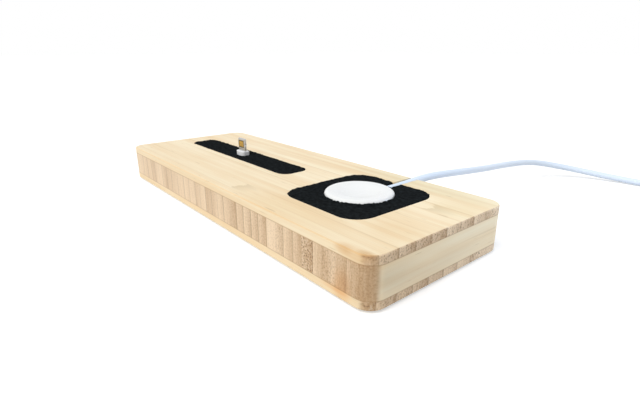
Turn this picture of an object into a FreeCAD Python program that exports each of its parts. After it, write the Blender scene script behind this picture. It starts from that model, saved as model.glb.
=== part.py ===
import FreeCAD, Part
import math
import os

Vector = FreeCAD.Vector

# A charging dock for a desk: a three-ply bamboo board with two felt-lined seats. A fixed plug stands
# in the long seat for a phone, and a round charging puck lies in the square seat for a watch, with its
# cord leaving through a groove at the back.
# Millimetres. X runs along the board towards the watch seat, Y to the back, Z up from the table.

# Board: two face plies with their grain along X, and a thick core ply with its grain along Y
BOARD_LENGTH = 194.0
BOARD_WIDTH = 72.0
FACE_PLY_THICKNESS = 3.2
CORE_PLY_THICKNESS = 11.6
BOARD_CORNER_RADIUS = 6.4
BOARD_EDGE_RADIUS = 0.5

# Rubber feet, glued into shallow round pockets under the corners
FOOT_DIAMETER = 9.0
FOOT_THICKNESS = 2.0
FOOT_PROUD = 0.8
FOOT_INSET = 12.0
FOOT_EDGE_RADIUS = 0.3
FOOT_CLEARANCE = 0.2

# Felt pads, laid in windows cut through the upper face ply
FELT_PROUD = 0.2
FELT_CLEARANCE = 0.1
WATCH_SEAT_LENGTH = 43.3
WATCH_SEAT_WIDTH = 45.7
WATCH_SEAT_RADIUS = 9.0
WATCH_SEAT_Y = 1.6
WATCH_END_MARGIN = 21.45
SEAT_GAP = 19.25
PHONE_END_MARGIN = 13.4
PHONE_SEAT_WIDTH = 15.4
PHONE_SEAT_RADIUS = 5.0
PHONE_SEAT_Y = 2.4

# Phone plug: a moulded housing that stands in a slot, with a flat contact tongue on top
HOUSING_WIDTH = 7.7
HOUSING_THICKNESS = 4.5
HOUSING_LENGTH = 12.0
HOUSING_RADIUS = 1.6
HOUSING_EDGE_RADIUS = 0.3
HOUSING_STAND = 2.0
HOUSING_CLEARANCE = 0.2
HOUSING_LIP = 0.5
TONGUE_THICKNESS = 1.5
TONGUE_LENGTH = 6.6
TONGUE_ROOT = 3.0
TONGUE_RADIUS = 0.7
TONGUE_TIP_RADIUS = 0.4
TONGUE_FIT = 0.03
LATCH_RADIUS = 0.6
LATCH_BITE = 0.35
LATCH_HEIGHT = 3.3
TONGUE_SIDE = 0.75
INSERT_HEIGHT = 3.8
INSERT_DEPTH = 0.2
INSERT_TIP_MARGIN = 1.0
INSERT_MARGIN = 0.4
CONTACT_COUNT = 8
CONTACT_WIDTH = 0.4

# Retainer plate, screwed up into the core under the phone plug, and the channel for the plug's lead
RETAINER_LENGTH = 27.0
RETAINER_WIDTH = 10.0
RETAINER_THICKNESS = 2.4
RETAINER_CORNER_RADIUS = 2.0
RETAINER_CLEARANCE = 0.3
LEAD_HOLE_DIAMETER = 4.4
CHANNEL_WIDTH = 5.4
CHANNEL_DEPTH = 5.4
SCREW_INSET = 4.0
SCREW_DIAMETER = 2.2
SCREW_HEAD_DIAMETER = 4.4
SCREW_LENGTH = 7.5
SCREW_CLEARANCE = 0.05
SCREW_TIP_ROOM = 0.5
CROSS_LENGTH = 2.4
CROSS_WIDTH = 0.5
CROSS_DEPTH = 0.8

# Charging puck: a cap with a dished face, on a ring-shaped shell closed by a flat base
PUCK_DIAMETER = 27.8
PUCK_HEIGHT = 8.0
PUCK_STAND = 1.8
PUCK_ASIDE = 0.6
PUCK_WALL = 1.6
PUCK_RIM_RADIUS = 1.7
PUCK_FOOT_RADIUS = 0.9
NEST_CLEARANCE = 0.3
CROWN_RADIUS = 20.0
DISH_DEPTH = 1.45
COVER_THICKNESS = 0.8
COVER_HEIGHT = 6.0
BASE_THICKNESS = 1.4
BASE_SEAM = 0.05

# Inside the puck: a coil and its magnet under the cover, a ferrite disc, and a round circuit board
CHARGER_COIL_MARGIN = 2.8
CHARGER_COIL_THICKNESS = 1.4
CHARGER_COIL_HOLE = 11.2
MAGNET_CLEARANCE = 0.4
FERRITE_OVERHANG = 0.2
FERRITE_THICKNESS = 0.7
CIRCUIT_BOARD_CLEARANCE = 1.1
CIRCUIT_BOARD_THICKNESS = 0.8
CHIP_SIZES = [(5.0, 5.0, 1.0), (3.2, 2.5, 0.8), (2.0, 1.25, 0.7)]
CHIP_RING_RADIUS = 6.0

# Cord: a round lead moulded into a short collar on the puck's side
CORD_DIAMETER = 3.3
CORD_EXIT_HEIGHT = 4.6
COLLAR_DIAMETER = 3.9
COLLAR_TIP_DIAMETER = 3.5
COLLAR_LENGTH = 2.5
COLLAR_FIT = 0.03
GROOVE_CLEARANCE = 0.3
GROOVE_FIT = 0.35
CORD_STRAIGHT = 10.0

# Route of the free cord from the groove to its coil, chosen by hand: how far each point lies to the
# side of the puck's middle, behind the board's back edge, and above the table
CORD_DROOP = [
    (0.0, 8.0, 18.2),
    (0.1, 30.0, 16.3),
    (0.2, 56.0, 13.6),
    (0.6, 84.0, 11.9),
    (3.0, 109.0, 9.6),
    (16.0, 126.5, 5.4),
    (36.5, 135.5, 2.4),
    (59.0, 138.0, 1.75),
]
BEND_SHARE = 0.45

# Put-away coil: two layers of turns, in along the lower and out along the upper
COIL_ASIDE = 88.8
COIL_BEHIND = 111.9
COIL_MEAN_RADIUS = 19.0
COIL_LOOPS = 6
COIL_TURN_GAP = 0.6
COIL_LEAD_IN = 6.0
TIE_WIDTH = 5.0
TIE_THICKNESS = 0.8
TIE_CLEARANCE = 0.45
TIE_LIFT = 0.05
TIE_CORNER_RADIUS = 1.2
TAIL_LENGTH = 26.0

# Plug at the cord's far end: a flat four-contact plug with a moulded grip
GRIP_WIDTH = 15.6
GRIP_HEIGHT = 7.6
GRIP_LENGTH = 22.0
GRIP_RADIUS = 2.0
SLEEVE_LENGTH = 8.0
SLEEVE_DIAMETER = 5.0
SLEEVE_TIP_DIAMETER = 3.7
PLUG_WIDTH = 12.0
PLUG_HEIGHT = 4.5
PLUG_LENGTH = 12.0
PLUG_ROOT = 4.0
PLUG_WALL = 0.3
PLUG_CORNER_RADIUS = 0.6
PLUG_FIT = 0.05
PLUG_WINDOW_WIDTH = 2.5
PLUG_WINDOW_LENGTH = 2.2
PLUG_WINDOW_SPACING = 5.2
PLUG_WINDOW_FROM_TIP = 5.5
BLADE_THICKNESS = 1.8
BLADE_SETBACK = 0.5
PIN_COUNT = 4
PIN_PITCH = 2.3
PIN_WIDTH = 1.0
PIN_LENGTH = 7.5
PIN_THICKNESS = 0.15
PIN_SETBACK = 1.0

# Levels, widths and places that follow from the sizes above
CUT_MARGIN = 5.0
TINY = 1e-6
BACK_EDGE = BOARD_WIDTH / 2
WATCH_SEAT_X = BOARD_LENGTH / 2 - WATCH_END_MARGIN - WATCH_SEAT_LENGTH / 2
PHONE_SEAT_LEFT = PHONE_END_MARGIN - BOARD_LENGTH / 2
PHONE_SEAT_RIGHT = WATCH_SEAT_X - WATCH_SEAT_LENGTH / 2 - SEAT_GAP
PHONE_SEAT_LENGTH = PHONE_SEAT_RIGHT - PHONE_SEAT_LEFT
PHONE_SEAT_X = (PHONE_SEAT_LEFT + PHONE_SEAT_RIGHT) / 2
TONGUE_WIDTH = HOUSING_WIDTH - 2 * HOUSING_LIP
INSERT_WIDTH = TONGUE_WIDTH - 2 * TONGUE_SIDE
CONTACT_HEIGHT = INSERT_HEIGHT - 2 * INSERT_MARGIN
CONTACT_PITCH = (INSERT_WIDTH - 2 * INSERT_MARGIN) / CONTACT_COUNT
SCREW_SPACING = RETAINER_LENGTH - 2 * SCREW_INSET
BOARD_BOTTOM = FOOT_PROUD
CORE_BOTTOM = BOARD_BOTTOM + FACE_PLY_THICKNESS
CORE_TOP = CORE_BOTTOM + CORE_PLY_THICKNESS
BOARD_TOP = CORE_TOP + FACE_PLY_THICKNESS
FELT_TOP = BOARD_TOP + FELT_PROUD
HOUSING_TOP = FELT_TOP + HOUSING_STAND
HOUSING_BOTTOM = HOUSING_TOP - HOUSING_LENGTH
RETAINER_BOTTOM = HOUSING_BOTTOM - RETAINER_THICKNESS
TONGUE_TIP = HOUSING_TOP + TONGUE_LENGTH
PUCK_X = WATCH_SEAT_X + PUCK_ASIDE
PUCK_Y = WATCH_SEAT_Y
PUCK_TOP = BOARD_TOP + PUCK_STAND
PUCK_BOTTOM = PUCK_TOP - PUCK_HEIGHT
PUCK_RADIUS = PUCK_DIAMETER / 2
CAVITY_RADIUS = PUCK_RADIUS - PUCK_WALL
COVER_SEAM = PUCK_TOP - COVER_HEIGHT
DISH_BOTTOM = PUCK_TOP - DISH_DEPTH
CAVITY_TOP = DISH_BOTTOM - COVER_THICKNESS
CHARGER_COIL_BOTTOM = CAVITY_TOP - CHARGER_COIL_THICKNESS
FERRITE_BOTTOM = CHARGER_COIL_BOTTOM - FERRITE_THICKNESS
CHARGER_COIL_RADIUS = CAVITY_RADIUS - CHARGER_COIL_MARGIN
BASE_TOP = PUCK_BOTTOM + BASE_THICKNESS
CIRCUIT_BOARD_TOP = BASE_TOP + CIRCUIT_BOARD_THICKNESS
CORD_RADIUS = CORD_DIAMETER / 2
CORD_EXIT_Z = PUCK_BOTTOM + CORD_EXIT_HEIGHT
COLLAR_TIP_Y = PUCK_Y + PUCK_RADIUS + COLLAR_LENGTH
GROOVE_FLOOR = CORD_EXIT_Z - COLLAR_DIAMETER / 2 - GROOVE_CLEARANCE
CORD_PITCH = CORD_DIAMETER + COIL_TURN_GAP
COIL_TURNS = COIL_LOOPS + 0.25
COIL_STEPS = 4 * COIL_LOOPS + 2
COIL_CENTRE_X = PUCK_X + COIL_ASIDE
COIL_CENTRE_Y = BACK_EDGE + COIL_BEHIND
COIL_INNER_RADIUS = COIL_MEAN_RADIUS - CORD_PITCH * COIL_TURNS / 4
COIL_OUTER_RADIUS = COIL_INNER_RADIUS + CORD_PITCH * COIL_TURNS / 2
COIL_LOW_Z = CORD_RADIUS + TIE_CLEARANCE + TIE_THICKNESS + TIE_LIFT
COIL_HIGH_Z = COIL_LOW_Z + CORD_PITCH
COIL_START = Vector(COIL_CENTRE_X - COIL_LEAD_IN, COIL_CENTRE_Y + COIL_OUTER_RADIUS, COIL_LOW_Z)
PLUG_X = COIL_CENTRE_X + COIL_OUTER_RADIUS
PLUG_Z = GRIP_HEIGHT / 2
SLEEVE_TIP_Y = COIL_CENTRE_Y - TAIL_LENGTH
GRIP_BACK_Y = SLEEVE_TIP_Y - SLEEVE_LENGTH
GRIP_FRONT_Y = GRIP_BACK_Y - GRIP_LENGTH
PLUG_ROOT_Y = GRIP_FRONT_Y + PLUG_ROOT
PLUG_WHOLE_LENGTH = PLUG_LENGTH + PLUG_ROOT
PLUG_TIP_Y = GRIP_FRONT_Y - PLUG_LENGTH


# Shapes used by several pieces


def disc(diameter, low, high, x, y):
    return Part.makeCylinder(diameter / 2, high - low, Vector(x, y, low))


def block(width, depth, height, x, y, z):
    """A box centred on x, y, z."""
    return Part.makeBox(width, depth, height, Vector(x - width / 2, y - depth / 2, z - height / 2))


def rounded_face(width, depth, radius):
    """A rectangle with round corners, centred on the origin in the XY plane."""
    inner_x = width / 2 - radius
    inner_y = depth / 2 - radius
    corners = []
    for quarter, (side_x, side_y) in enumerate([(1, 1), (-1, 1), (-1, -1), (1, -1)]):
        centre = Vector(side_x * inner_x, side_y * inner_y, 0)
        angles = [math.radians(90 * quarter + part) for part in (0, 45, 90)]
        corners.append([centre + Vector(math.cos(a), math.sin(a), 0) * radius for a in angles])
    edges = []
    for corner, following in zip(corners, corners[1:] + corners[:1]):
        edges.append(Part.Arc(*corner).toShape())
        edges.append(Part.LineSegment(corner[-1], following[0]).toShape())
    return Part.Face(Part.Wire(edges))


def rounded_slab(width, depth, radius, low, high, x=0.0, y=0.0):
    face = rounded_face(width, depth, radius)
    face.translate(Vector(x, y, low))
    return face.extrude(Vector(0, 0, high - low))


def edges_at_height(shape, z):
    return [edge for edge in shape.Edges if all(abs(v.Z - z) < TINY for v in edge.Vertexes)]


def turned(profile, x, y):
    """A solid turned about the vertical through x, y. Lines and arcs have two or three (radius, height)."""
    edges = []
    for segment in profile:
        places = [Vector(x + radius, y, z) for radius, z in segment]
        curve = Part.LineSegment if len(places) == 2 else Part.Arc
        edges.append(curve(*places).toShape())
    return Part.Face(Part.Wire(edges)).revolve(Vector(x, y, 0), Vector(0, 0, 1), 360)


def tangent_arc(start, corner, end):
    """The arc that leaves start towards corner and reaches end from corner, both as far from it."""
    middle = (start + end) / 2
    reach = (corner - start).Length
    lean = (end - start).Length / 2 / reach
    if lean > 1 - TINY**2:
        return Part.LineSegment(start, end).toShape()
    return Part.Arc(start, middle + (corner - middle) * (lean / (1 + lean)), end).toShape()


def biarc(start, start_way, end, end_way):
    """Two arcs that leave start along start_way and reach end along end_way."""
    span = end - start
    ways = start_way + end_way
    spread = 2 * (1 - start_way.dot(end_way))
    along = span.dot(ways)
    square = span.dot(span)
    reach = square / (2 * along)
    if spread > TINY:
        reach = (math.sqrt(along * along + spread * square) - along) / spread
    first_corner = start + start_way * reach
    last_corner = end - end_way * reach
    joint = (first_corner + last_corner) / 2
    return [tangent_arc(start, first_corner, joint), tangent_arc(joint, last_corner, end)]


def tube(edges, diameter):
    start = edges[0].valueAt(edges[0].FirstParameter)
    way = edges[0].tangentAt(edges[0].FirstParameter)
    section = Part.Wire(Part.Circle(start, way, diameter / 2).toShape())
    return Part.Wire(edges).makePipeShell([section], True, False)


# Cuts shared by the plies and the felt


def phone_seat(inset, low, high):
    length = PHONE_SEAT_LENGTH - 2 * inset
    width = PHONE_SEAT_WIDTH - 2 * inset
    return rounded_slab(length, width, PHONE_SEAT_RADIUS - inset, low, high, PHONE_SEAT_X, PHONE_SEAT_Y)


def watch_seat(inset, low, high):
    length = WATCH_SEAT_LENGTH - 2 * inset
    width = WATCH_SEAT_WIDTH - 2 * inset
    return rounded_slab(length, width, WATCH_SEAT_RADIUS - inset, low, high, WATCH_SEAT_X, WATCH_SEAT_Y)


def puck_nest():
    width = PUCK_DIAMETER + 2 * NEST_CLEARANCE
    return disc(width, PUCK_BOTTOM, FELT_TOP + CUT_MARGIN, PUCK_X, PUCK_Y)


def cord_groove():
    """A run with room for the collar, then a narrower run for the cord, out through the back edge."""
    height = FELT_TOP + CUT_MARGIN - GROOVE_FLOOR
    middle_z = GROOVE_FLOOR + height / 2
    collar_width = COLLAR_DIAMETER + 2 * GROOVE_CLEARANCE
    collar_end = COLLAR_TIP_Y + GROOVE_CLEARANCE
    collar_run = block(collar_width, collar_end - PUCK_Y, height, PUCK_X, (collar_end + PUCK_Y) / 2, middle_z)
    cord_width = CORD_DIAMETER + 2 * GROOVE_FIT
    cord_end = BACK_EDGE + CUT_MARGIN
    cord_run = block(cord_width, cord_end - PUCK_Y, height, PUCK_X, (cord_end + PUCK_Y) / 2, middle_z)
    return collar_run.fuse(cord_run)


def housing_slot():
    grow = HOUSING_CLEARANCE
    width = HOUSING_WIDTH + 2 * grow
    depth = HOUSING_THICKNESS + 2 * grow
    high = FELT_TOP + CUT_MARGIN
    radius = HOUSING_RADIUS + grow
    return rounded_slab(width, depth, radius, HOUSING_BOTTOM, high, PHONE_SEAT_X, PHONE_SEAT_Y)


def retainer_pocket():
    length = RETAINER_LENGTH + 2 * RETAINER_CLEARANCE
    width = RETAINER_WIDTH + 2 * RETAINER_CLEARANCE
    radius = RETAINER_CORNER_RADIUS + RETAINER_CLEARANCE
    return rounded_slab(length, width, radius, -CUT_MARGIN, HOUSING_BOTTOM, PHONE_SEAT_X, PHONE_SEAT_Y)


def lead_channel():
    length = BACK_EDGE + CUT_MARGIN - PHONE_SEAT_Y
    height = BOARD_BOTTOM + CHANNEL_DEPTH + CUT_MARGIN
    middle_y = PHONE_SEAT_Y + length / 2
    return block(CHANNEL_WIDTH, length, height, PHONE_SEAT_X, middle_y, height / 2 - CUT_MARGIN)


def screw_places():
    return [PHONE_SEAT_X + side * SCREW_SPACING / 2 for side in (-1, 1)]


def foot_places():
    reach_x = BOARD_LENGTH / 2 - FOOT_INSET
    reach_y = BOARD_WIDTH / 2 - FOOT_INSET
    return [(side_x * reach_x, side_y * reach_y) for side_x in (-1, 1) for side_y in (-1, 1)]


# Board


def face_ply(low, high, outer):
    slab = rounded_slab(BOARD_LENGTH, BOARD_WIDTH, BOARD_CORNER_RADIUS, low, high)
    return slab.makeFillet(BOARD_EDGE_RADIUS, edges_at_height(slab, outer))


def top_ply():
    ply = face_ply(CORE_TOP, BOARD_TOP, BOARD_TOP)
    windows = [
        phone_seat(0.0, CORE_TOP - CUT_MARGIN, BOARD_TOP + CUT_MARGIN),
        watch_seat(0.0, CORE_TOP - CUT_MARGIN, BOARD_TOP + CUT_MARGIN),
        cord_groove(),
    ]
    return ply.cut(windows)


def core_ply():
    ply = rounded_slab(BOARD_LENGTH, BOARD_WIDTH, BOARD_CORNER_RADIUS, CORE_BOTTOM, CORE_TOP)
    pilot_top = RETAINER_BOTTOM + SCREW_LENGTH + SCREW_TIP_ROOM
    pilots = [
        disc(SCREW_DIAMETER + 2 * SCREW_CLEARANCE, CORE_BOTTOM, pilot_top, x, PHONE_SEAT_Y)
        for x in screw_places()
    ]
    cuts = [puck_nest(), cord_groove(), housing_slot(), retainer_pocket(), lead_channel()]
    return ply.cut(cuts + pilots)


def bottom_ply():
    ply = face_ply(BOARD_BOTTOM, CORE_BOTTOM, BOARD_BOTTOM)
    pocket_width = FOOT_DIAMETER + 2 * FOOT_CLEARANCE
    pockets = [disc(pocket_width, -CUT_MARGIN, FOOT_THICKNESS, x, y) for x, y in foot_places()]
    return ply.cut([retainer_pocket(), lead_channel()] + pockets)


def rubber_feet():
    feet = []
    for x, y in foot_places():
        foot = disc(FOOT_DIAMETER, 0.0, FOOT_THICKNESS, x, y)
        feet.append(foot.makeFillet(FOOT_EDGE_RADIUS, edges_at_height(foot, 0.0)))
    return Part.makeCompound(feet)


def phone_felt_pad():
    return phone_seat(FELT_CLEARANCE, CORE_TOP, FELT_TOP).cut(housing_slot())


def watch_felt_pad():
    return watch_seat(FELT_CLEARANCE, CORE_TOP, FELT_TOP).cut([puck_nest(), cord_groove()])


# Phone plug


def tongue_slab(grow, low, high):
    width = TONGUE_WIDTH + 2 * grow
    depth = TONGUE_THICKNESS + 2 * grow
    return rounded_slab(width, depth, TONGUE_RADIUS + grow, low, high, PHONE_SEAT_X, PHONE_SEAT_Y)


def connector_housing():
    size = (HOUSING_WIDTH, HOUSING_THICKNESS, HOUSING_RADIUS)
    housing = rounded_slab(*size, HOUSING_BOTTOM, HOUSING_TOP, PHONE_SEAT_X, PHONE_SEAT_Y)
    housing = housing.makeFillet(HOUSING_EDGE_RADIUS, edges_at_height(housing, HOUSING_TOP))
    return housing.cut(tongue_slab(TONGUE_FIT, HOUSING_TOP - TONGUE_ROOT, TONGUE_TIP))


def insert_places():
    """The middle of the contact insert on each face of the tongue."""
    y = TONGUE_THICKNESS / 2 - INSERT_DEPTH / 2
    z = TONGUE_TIP - INSERT_TIP_MARGIN - INSERT_HEIGHT / 2
    return [Vector(PHONE_SEAT_X, PHONE_SEAT_Y + side * y, z) for side in (-1, 1)]


def insert_blanks():
    return [block(INSERT_WIDTH, INSERT_DEPTH, INSERT_HEIGHT, p.x, p.y, p.z) for p in insert_places()]


def contact_blocks():
    first = -CONTACT_PITCH * (CONTACT_COUNT - 1) / 2
    return [
        block(CONTACT_WIDTH, INSERT_DEPTH, CONTACT_HEIGHT, p.x + first + CONTACT_PITCH * k, p.y, p.z)
        for p in insert_places()
        for k in range(CONTACT_COUNT)
    ]


def connector_tongue():
    tongue = tongue_slab(0.0, HOUSING_TOP - TONGUE_ROOT, TONGUE_TIP)
    tongue = tongue.makeFillet(TONGUE_TIP_RADIUS, edges_at_height(tongue, TONGUE_TIP))
    reach = TONGUE_WIDTH / 2 + LATCH_RADIUS - LATCH_BITE
    front = PHONE_SEAT_Y - TONGUE_THICKNESS / 2
    notches = []
    for side in (-1, 1):
        start = Vector(PHONE_SEAT_X + side * reach, front, HOUSING_TOP + LATCH_HEIGHT)
        notches.append(Part.makeCylinder(LATCH_RADIUS, TONGUE_THICKNESS, start, Vector(0, 1, 0)))
    return tongue.cut(insert_blanks() + notches)


def connector_inserts():
    contacts = contact_blocks()
    return Part.makeCompound([blank.cut(contacts) for blank in insert_blanks()])


def connector_contacts():
    return Part.makeCompound(contact_blocks())


# Retainer under the phone plug


def screw_shape(x, grow, high):
    """A countersunk screw, head down, grown all round by a clearance."""
    head = SCREW_HEAD_DIAMETER / 2 + grow
    shank = SCREW_DIAMETER / 2 + grow
    base = Vector(x, PHONE_SEAT_Y, RETAINER_BOTTOM)
    cone = Part.makeCone(head, shank, head - shank, base)
    return cone.fuse(Part.makeCylinder(shank, high - RETAINER_BOTTOM, base)).removeSplitter()


def connector_retainer():
    size = (RETAINER_LENGTH, RETAINER_WIDTH, RETAINER_CORNER_RADIUS)
    plate = rounded_slab(*size, RETAINER_BOTTOM, HOUSING_BOTTOM, PHONE_SEAT_X, PHONE_SEAT_Y)
    cuts = [screw_shape(x, SCREW_CLEARANCE, HOUSING_BOTTOM + CUT_MARGIN) for x in screw_places()]
    cuts.append(disc(LEAD_HOLE_DIAMETER, RETAINER_BOTTOM, HOUSING_BOTTOM, PHONE_SEAT_X, PHONE_SEAT_Y))
    return plate.cut(cuts)


def retainer_screws():
    screws = []
    for x in screw_places():
        z = RETAINER_BOTTOM + CROSS_DEPTH / 2
        cross = [
            block(CROSS_LENGTH, CROSS_WIDTH, CROSS_DEPTH, x, PHONE_SEAT_Y, z),
            block(CROSS_WIDTH, CROSS_LENGTH, CROSS_DEPTH, x, PHONE_SEAT_Y, z),
        ]
        screws.append(screw_shape(x, 0.0, RETAINER_BOTTOM + SCREW_LENGTH).cut(cross))
    return Part.makeCompound(screws)


# Charging puck


def arc_points(centre_radius, centre_z, size, start, end):
    """Three (radius, height) points of an arc about a centre, from one angle to another in degrees."""
    angles = [math.radians(a) for a in (start, (start + end) / 2, end)]
    return [(centre_radius + size * math.cos(a), centre_z + size * math.sin(a)) for a in angles]


def collar_bore(grow):
    start = Vector(PUCK_X, PUCK_Y + CAVITY_RADIUS, CORD_EXIT_Z)
    return Part.makeCylinder(COLLAR_DIAMETER / 2 + grow, PUCK_WALL + CUT_MARGIN, start, Vector(0, 1, 0))


def puck_shell():
    foot_centre = (PUCK_RADIUS - PUCK_FOOT_RADIUS, PUCK_BOTTOM + PUCK_FOOT_RADIUS)
    foot = arc_points(*foot_centre, PUCK_FOOT_RADIUS, -90, 0)
    profile = [
        [(CAVITY_RADIUS, PUCK_BOTTOM), foot[0]],
        foot,
        [foot[2], (PUCK_RADIUS, COVER_SEAM)],
        [(PUCK_RADIUS, COVER_SEAM), (CAVITY_RADIUS, COVER_SEAM)],
        [(CAVITY_RADIUS, COVER_SEAM), (CAVITY_RADIUS, PUCK_BOTTOM)],
    ]
    return turned(profile, PUCK_X, PUCK_Y)


def puck_cover():
    """A cup whose rim runs over a crown into a shallow dish, each arc tangent to the next."""
    rim_middle = PUCK_RADIUS - PUCK_RIM_RADIUS
    both_radii = (rim_middle**2 + DISH_DEPTH**2) / (2 * DISH_DEPTH)
    dish_radius = both_radii - CROWN_RADIUS
    lean = math.degrees(math.asin(rim_middle / both_radii))
    rim = arc_points(rim_middle, PUCK_TOP - PUCK_RIM_RADIUS, PUCK_RIM_RADIUS, 0, 90)
    crown = arc_points(rim_middle, PUCK_TOP - CROWN_RADIUS, CROWN_RADIUS, 90, 90 + lean)
    dish = arc_points(0.0, DISH_BOTTOM + dish_radius, dish_radius, lean - 90, -90)
    profile = [
        [(0.0, CAVITY_TOP), (CAVITY_RADIUS, CAVITY_TOP)],
        [(CAVITY_RADIUS, CAVITY_TOP), (CAVITY_RADIUS, COVER_SEAM)],
        [(CAVITY_RADIUS, COVER_SEAM), (PUCK_RADIUS, COVER_SEAM)],
        [(PUCK_RADIUS, COVER_SEAM), rim[0]],
        rim,
        crown,
        dish,
        [(0.0, DISH_BOTTOM), (0.0, CAVITY_TOP)],
    ]
    return turned(profile, PUCK_X, PUCK_Y).cut(collar_bore(COLLAR_FIT))


def puck_disc(diameter, low, high):
    return disc(diameter, low, high, PUCK_X, PUCK_Y)


def puck_base():
    return puck_disc(2 * (CAVITY_RADIUS - BASE_SEAM), PUCK_BOTTOM, BASE_TOP)


def puck_coil():
    ring = puck_disc(2 * CHARGER_COIL_RADIUS, CHARGER_COIL_BOTTOM, CAVITY_TOP)
    return ring.cut(puck_disc(CHARGER_COIL_HOLE, CHARGER_COIL_BOTTOM, CAVITY_TOP))


def puck_magnet():
    return puck_disc(CHARGER_COIL_HOLE - 2 * MAGNET_CLEARANCE, CHARGER_COIL_BOTTOM, CAVITY_TOP)


def puck_ferrite():
    return puck_disc(2 * (CHARGER_COIL_RADIUS + FERRITE_OVERHANG), FERRITE_BOTTOM, CHARGER_COIL_BOTTOM)


def puck_circuit_board():
    return puck_disc(2 * (CAVITY_RADIUS - CIRCUIT_BOARD_CLEARANCE), BASE_TOP, CIRCUIT_BOARD_TOP)


def puck_chips():
    chips = []
    for k, (width, depth, height) in enumerate(CHIP_SIZES):
        angle = 2 * math.pi * k / len(CHIP_SIZES)
        x = PUCK_X + CHIP_RING_RADIUS * math.cos(angle)
        y = PUCK_Y + CHIP_RING_RADIUS * math.sin(angle)
        chips.append(block(width, depth, height, x, y, CIRCUIT_BOARD_TOP + height / 2))
    return Part.makeCompound(chips)


def puck_collar():
    wide = COLLAR_DIAMETER / 2
    root = Vector(PUCK_X, PUCK_Y + CAVITY_RADIUS, CORD_EXIT_Z)
    wall = root + Vector(0, PUCK_WALL, 0)
    stub = Part.makeCylinder(wide, PUCK_WALL, root, Vector(0, 1, 0))
    cone = Part.makeCone(wide, COLLAR_TIP_DIAMETER / 2, COLLAR_LENGTH, wall, Vector(0, 1, 0))
    return stub.fuse(cone).removeSplitter()


# Cord


def cord_route():
    start = Vector(PUCK_X, COLLAR_TIP_Y, CORD_EXIT_Z)
    straight = start + Vector(0, CORD_STRAIGHT, 0)
    droop = [Vector(PUCK_X + aside, BACK_EDGE + behind, z) for aside, behind, z in CORD_DROOP]
    return [start, straight] + droop + [COIL_START]


def cord_edges():
    """Straight runs joined by arcs as large as the runs allow."""
    route = cord_route()
    edges = []
    reached = route[0]
    for before, corner, after in zip(route, route[1:], route[2:]):
        way_in = (corner - before).normalize()
        way_out = (after - corner).normalize()
        reach = BEND_SHARE * min((corner - before).Length, (after - corner).Length)
        half_turn = way_in.getAngle(way_out) / 2
        radius = reach / math.tan(half_turn)
        print(f"cord bend {math.degrees(2 * half_turn):.1f} deg, radius {radius:.1f} mm")
        start = corner - way_in * reach
        end = corner + way_out * reach
        edges.append(Part.LineSegment(reached, start).toShape())
        edges.append(tangent_arc(start, corner, end))
        reached = end
    edges.append(Part.LineSegment(reached, route[-1]).toShape())
    return edges


def coil_point(turn):
    """Where the middle of the cord is after so many turns, going clockwise from the coil's back."""
    climb = 2 * COIL_TURNS / COIL_STEPS
    from_middle = turn - COIL_TURNS / 2
    share = min(max(from_middle / climb + 0.5, 0.0), 1.0)
    z = COIL_LOW_Z + CORD_PITCH * (1 - math.cos(math.pi * share)) / 2
    radius = COIL_INNER_RADIUS + CORD_PITCH * abs(from_middle)
    angle = math.pi / 2 - 2 * math.pi * turn
    return Vector(COIL_CENTRE_X + radius * math.cos(angle), COIL_CENTRE_Y + radius * math.sin(angle), z)


def coil_way(turn):
    nudge = 1e-4
    return (coil_point(turn + nudge) - coil_point(turn - nudge)).normalize()


def coil_edges():
    """A short lead, the turns as two arcs for each quarter turn, and a tail down to the plug."""
    lead_way = (COIL_START - cord_route()[-2]).normalize()
    lead_end = COIL_START + lead_way * CORD_DIAMETER
    turns = [COIL_TURNS * k / COIL_STEPS for k in range(COIL_STEPS + 1)]
    places = [(lead_end, lead_way)] + [(coil_point(turn), coil_way(turn)) for turn in turns]
    tail_way = Vector(0, -1, 0)
    tail_end = Vector(PLUG_X, SLEEVE_TIP_Y, PLUG_Z)
    places.append((tail_end - tail_way * CORD_DIAMETER, tail_way))
    edges = [Part.LineSegment(COIL_START, lead_end).toShape()]
    for (start, start_way), (end, end_way) in zip(places, places[1:]):
        edges += biarc(start, start_way, end, end_way)
    edges.append(Part.LineSegment(places[-1][0], tail_end).toShape())
    return edges


def least_gap(edges, diameter):
    """The least gap between stretches of a tube that lie over four diameters apart along it."""
    spacing = diameter / 4
    path = Part.Wire(edges)
    points = path.discretize(Distance=spacing)
    apart = int(4 * diameter / spacing)
    gaps = [
        (later - point).Length - diameter
        for index, point in enumerate(points)
        for later in points[index + apart :]
    ]
    return min(gaps)


def cord_tubes():
    tubes = {}
    for name, edges in (("puck_cord", cord_edges()), ("cord_coil", coil_edges())):
        tubes[name] = tube(edges, CORD_DIAMETER)
        length = sum(edge.Length for edge in edges)
        share = tubes[name].Volume / (math.pi * CORD_RADIUS**2 * length)
        print(f"{name}: {length:.1f} mm long, volume over section times length {share:.5f}")
        print(f"{name}: least gap to itself {least_gap(edges, CORD_DIAMETER):.2f} mm")
    return tubes


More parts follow.
